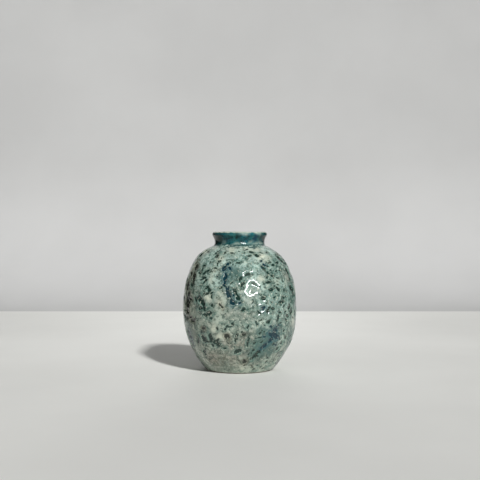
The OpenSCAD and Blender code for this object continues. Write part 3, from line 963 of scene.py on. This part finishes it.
def body_paint(start):
    at = place_on(start)
    green, blue, brown = start.shares("dents")
    halos = start.shares("halos")
    teal_wash_and_edge_shade, green_wash_and_edge_shade, blue_wash = start.shares("washes")
    cream, grey, brown_wash_and_left_shade = start.shares("tints")
    dry, streaks = start.shares("scars")[:2]
    right, height = at.parts(0, 2)
    broad = at.cloud(16)
    patchy = at.cloud(4.2, detail=4, rough=0.65, bend=0.6)
    ragged = at.cloud(1.7, rough=0.6)
    flecks = at.cloud(2.6, detail=2, rough=0.5, bend=0.4)
    worn = patchy + ragged * 0.5

    # Ground: celadon in clouds, paler and cooler above and to the right and warmer and darker below and to
    # the left, partly the glaze's own tone and partly painted light and shade, with beige washes and cream
    # where it is thin
    cool_where_lit = (height + right * 0.4 + broad.sway(0.05)).between(*COOLER_WHERE_LIT)
    clouds = at.cloud(9, detail=4, rough=0.6, bend=0.5).between(0.38, 0.62)
    ground = clouds.blend(cool_where_lit.blend(WARM_SHADED_GREY, GREY_GREEN), cool_where_lit.blend(WARM_SHADED_CELADON, CELADON))
    ground = coat(ground, GREY_BEIGE, grey * broad.between(0.3, 0.6))
    thin = at.cloud(6.5, detail=4, rough=0.65, bend=0.7).between(0.53, 0.68)
    ground = coat(ground, CREAM, thin * (1 - grey), most=0.5)
    ground = coat(ground, MID_GREEN, patchy.between(0.45, 0.62) * (0.75 - grey * 0.4))
    ground = coat(ground, OLIVE_BROWN, grey * worn.between(0.7, 0.85), most=0.8)

    # Washes, with the stain around each dent among them; the washes along the left and right edges paint
    # shade there
    for wash, tint, most in ((green_wash_and_edge_shade, MID_GREEN, 0.9), (blue_wash, TEAL_BLUE, 0.9),
                             (brown_wash_and_left_shade, OLIVE_BROWN, 0.85)):
        ground = coat(ground, tint, wash * worn.between(0.4, 0.85), most)
    ground = coat(ground, TEAL, (teal_wash_and_edge_shade + worn * 0.4).between(0.45, 1.1), most=0.9)
    for halo, tint in zip(halos, (MID_GREEN, TEAL_BLUE, OLIVE_BROWN)):
        ground = coat(ground, tint, (halo * (worn * 1.6)).between(0.25, 0.9), most=0.75)
    ground = coat(ground, CREAM, cream * worn.between(0.35, 0.8), most=0.95)

    # Flecks, more of them where dents and washes are near, and fewer in the calm of the pale washes
    busy = (halos[0] + halos[1] + halos[2] + green_wash_and_edge_shade + teal_wash_and_edge_shade).between(0, 0.8)
    lively = 1 - (cream * 0.7 + teal_wash_and_edge_shade * 0.6 + grey * 0.3).between(0, 1)
    ground = coat(ground, FLECK_GREEN, (flecks + busy * 0.08).between(0.58, 0.68) * lively, most=0.7)

    # Glaze pooled in the dents, with a thin pale rim that is partly thinner glaze and partly a painted
    # highlight on the rim
    for level, tint in ((green, DARK_GREEN), (brown, BLACK_BROWN), (blue, DEEP_BLUE)):
        edge = level + ragged.sway(0.6) * level.between(0.0, 0.2)
        rim = edge.between(0.06, 0.16) * edge.between(0.34, 0.2)
        ground = coat(ground, CREAM, rim * (1 - teal_wash_and_edge_shade) * patchy.between(0.35, 0.6), most=0.25)
        ground = coat(ground, tint, edge.between(0.34, 0.58), most=0.93)

    # Fine pale and dark specks, and the neck's glaze where it runs over the crease
    for tint, size, most in ((CREAM, 1.3, 0.6), (DARK_GREEN, 1.5, 0.55)):
        fine = at.cloud(size, detail=2, rough=0.6).between(0.58, 0.7)
        ground = coat(ground, tint, fine * lively, most)
    ground = coat(ground, CREASE_TEAL, neck_line(at, height), most=0.85)

    # Gloss all over, apart from the dry scars between the streaks
    ripple = at.cloud(5, detail=1, rough=0.5) + flecks * 0.1
    scarred = dry.between(0.4, 0.6) * (1 - streaks.between(0.3, 0.6))
    return {"Base Color": ground, "Roughness": GLOSS + patchy * 0.04 + scarred * DRY,
            "Normal": start.bumps(ripple, distance=0.15, strength=0.6)}


def neck_paint(start):
    at = place_on(start)
    dark, blue, pale = start.shares("marks")
    right, back, height = at.parts(0, 1, 2)
    reach = at.sum("SQRT", right * right + back * back)
    broad = at.cloud(9)
    patchy = at.cloud(3.5, detail=4, rough=0.6, bend=0.4)
    ragged = at.cloud(1.5, rough=0.6)
    worn = patchy + ragged * 0.5

    # Teal ground with worn and dark spots, then the marks
    ground = broad.between(0.4, 0.6).blend(NECK_TEAL, NECK_BLUE)
    ground = coat(ground, WORN_TEAL, patchy.between(0.46, 0.64), most=0.8)
    ground = coat(ground, BLACK_TEAL, ragged.between(0.5, 0.64), most=0.7)
    ground = coat(ground, INK_BLUE, blue * worn.between(0.3, 0.7), most=0.9)
    # Dark spots, with painted shade on the neck's left and right sides
    ground = coat(ground, BLACK_GREEN_AND_SIDE_SHADE, dark * worn.between(0.35, 0.75), most=0.9)
    ground = coat(ground, CREASE_GREY, 1 - neck_line(at, height), most=0.85)
    ground = coat(ground, PALE_GREEN, pale * worn.between(0.35, 0.75), most=0.9)

    # Inside of the lip, and the lip itself, where the glaze breaks to cream
    inner = (reach + patchy.sway(0.003)).between(*THROAT_RADII)
    throat = worn.between(0.5, 0.9).blend(THROAT_GREEN, TEAL)
    ground = coat(ground, throat, inner * height.between(*THROAT_BEGINS))
    lip = (height + patchy.sway(0.004)).between(*LIP_BREAKS) * (1 - inner * 0.7)
    ground = coat(ground, LIP_CREAM, lip * (1 - ragged.between(0.52, 0.66) * 0.6), most=0.9)
    return {"Base Color": ground, "Roughness": GLOSS + patchy * 0.08, "Specular IOR Level": 0.3,
            "Normal": start.bumps(patchy + ragged * 0.3, distance=0.2, strength=0.5)}


def liner_paint(start):
    at = place_on(start)
    height = at.parts(2)[0]
    patchy = at.cloud(7, detail=4, rough=0.6, bend=0.4)
    ragged = at.cloud(2)
    ground = patchy.between(0.35, 0.65).blend(LINER_GREEN, LINER_CREAM)
    ground = coat(ground, LINER_FLECK, ragged.between(0.55, 0.7), most=0.5)

    # Runs of the neck's glaze below the lip
    runs = (height + patchy.sway(0.03) + ragged.sway(0.012)).between(*RUNS_BEGIN)
    run_tint = (patchy + ragged * 0.5).between(0.5, 0.9).blend(LINER_RUN, TEAL)
    ground = coat(ground, run_tint, runs, most=0.85)
    return {"Base Color": ground, "Roughness": 0.14 + patchy * 0.1, "Coat Weight": 0.5,
            "Coat Roughness": 0.05, "Normal": start.bumps(patchy, distance=0.3, strength=0.5)}


def clay_paint(pale, dark):
    """Bare fired clay or slip, in two tones and with darker grit."""
    def paint(start):
        at = place_on(start)
        patchy = at.cloud(6, detail=4, rough=0.6)
        grit = at.cloud(0.7, detail=2, rough=0.6)
        ground = patchy.between(0.35, 0.65).blend(dark, pale)
        ground = coat(ground, GRIT, grit.between(0.64, 0.72), most=0.6)
        return {"Base Color": ground, "Roughness": 0.75 + patchy * 0.2,
                "Normal": start.bumps(grit, distance=0.15, strength=0.7)}
    return paint


stoneware = finish("bare_stoneware", clay_paint(CLAY, DARK_CLAY))
slip = finish("fired_slip", clay_paint(SLIP, DARK_SLIP))
liner = finish("pale_liner_glaze", liner_paint)
body.data.materials.append(finish("mottled_celadon_glaze", body_paint))
neck.data.materials.append(finish("dark_teal_glaze", neck_paint))
wall.data.materials.append(stoneware)
for material, nodes in ((stoneware, ("foot_ring", "floor_slab", "floor_coil", "neck_collar")),
                        (slip, ("foot_slip", "floor_slip", "neck_slip")),
                        (liner, ("liner_glaze",))):
    for node in nodes:
        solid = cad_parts[node].data
        solid.materials.clear()
        solid.materials.append(material)

# Stage: a floor, and a backdrop that sweeps up behind it
FLOOR_REACH = 3.0
BACKDROP_Y = 1.1
BACKDROP_TOP = 1.6
BACKDROP_HALF = 0.7
SWEEP_R = 0.35
SWEEP_TURNS = range(0, 91, 6)
FLOOR_TONE = (232, 232, 228)
BACKDROP_TONE = (197, 197, 196)
TONE_DROP = 8


def plaster_paint(pale):
    """Plain plaster or paper, in places a little darker than its pale tone."""
    def paint(start):
        darker = rgb(*(c - TONE_DROP for c in pale))
        broad = place_on(start).cloud(180, detail=4, rough=0.5)
        return {"Base Color": broad.between(0.2, 0.8).blend(darker, rgb(*pale)), "Roughness": 0.9}
    return paint


def sheet(name, section, half_width, material):
    """A floor or backdrop: a section of depth and height, drawn out sideways."""
    mesh = bpy.data.meshes.new(name)
    points = [(x, y, z) for y, z in section for x in (-half_width, half_width)]
    mesh.from_pydata(points, [], [(2 * i, 2 * i + 1, 2 * i + 3, 2 * i + 2) for i in range(len(section) - 1)])
    mesh.shade_smooth()
    mesh.materials.append(material)
    made = bpy.data.objects.new(name, mesh)
    bpy.context.collection.objects.link(made)


sweep = []
for turn in SWEEP_TURNS:
    down, back = SWEEP_R * direction(turn)
    sweep.append((BACKDROP_Y - SWEEP_R + back, SWEEP_R - down))
sheet("pale_floor", [(-FLOOR_REACH, 0.0), sweep[0]], FLOOR_REACH,
      finish("pale_plaster", plaster_paint(FLOOR_TONE)))
sheet("pale_backdrop", [*sweep, (BACKDROP_Y, BACKDROP_TOP)], BACKDROP_HALF,
      finish("pale_paper", plaster_paint(BACKDROP_TONE)))

# Lamps look at this point of the vase; a far lamp's own distance doesn't change its light
AIM = (0, 0, 0.08)
FAR_AWAY = 5


def aimed(name, data, azimuth, elevation, distance):
    """A lamp that looks at the vase from a side, in degrees right of the front and above the floor."""
    made = bpy.data.objects.new(name, data)
    bpy.context.collection.objects.link(made)
    made.location = AIM + distance * way_to(azimuth, elevation)
    made.rotation_euler = (math.radians(90 - elevation), 0, math.radians(azimuth))
    return made


def soft_box(name, azimuth, elevation, distance, width, watts, fan=180):
    """A wide lamp near the vase, which gloss doesn't show and whose light fans out by an angle in degrees."""
    data = bpy.data.lights.new(name, "AREA")
    data.size = width
    data.energy = watts
    data.spread = math.radians(fan)
    made = aimed(name, data, azimuth, elevation, distance)
    made.visible_glossy = False
    made.visible_camera = False


def far_lamp(name, azimuth, elevation, breadth, strength):
    """A lamp far away, as broad as an angle in degrees, so that it lights the whole floor evenly."""
    data = bpy.data.lights.new(name, "SUN")
    data.angle = math.radians(breadth)
    data.energy = strength
    return aimed(name, data, azimuth, elevation, FAR_AWAY)


far_lamp("key_lamp", 28, 37, breadth=5.5, strength=3.2).visible_glossy = False
far_lamp("glint_lamp", *GLINT_LAMP, breadth=7, strength=0.36).visible_diffuse = False
soft_box("top_lamp", 0, 68, distance=2.0, width=1.0, watts=2)
soft_box("fill_lamp", -35, 10, distance=2.5, width=1.3, watts=7)
soft_box("back_lamp", 180, 18, distance=0.95, width=0.5, watts=0.55, fan=80)

# Faint even light from the room
ROOM_TONE = rgb(214, 216, 216)
ROOM_LIGHT = 0.05
world = bpy.data.worlds.new("soft_room")
world.use_nodes = True
room = world.node_tree.nodes["Background"]
room.inputs["Color"].default_value = ROOM_TONE
room.inputs["Strength"].default_value = ROOM_LIGHT
bpy.context.scene.world = world
bpy.context.scene.view_settings.view_transform = "Standard"

camera = bpy.data.objects.new("camera", bpy.data.cameras.new("camera"))
bpy.context.collection.objects.link(camera)
camera.location = [along * MM for along in EYE]
camera.rotation_euler = (math.radians(90), 0, 0)
camera.data.sensor_width = SENSOR
camera.data.lens = LENS
camera.data.shift_x, camera.data.shift_y = SHIFT
bpy.context.scene.camera = camera
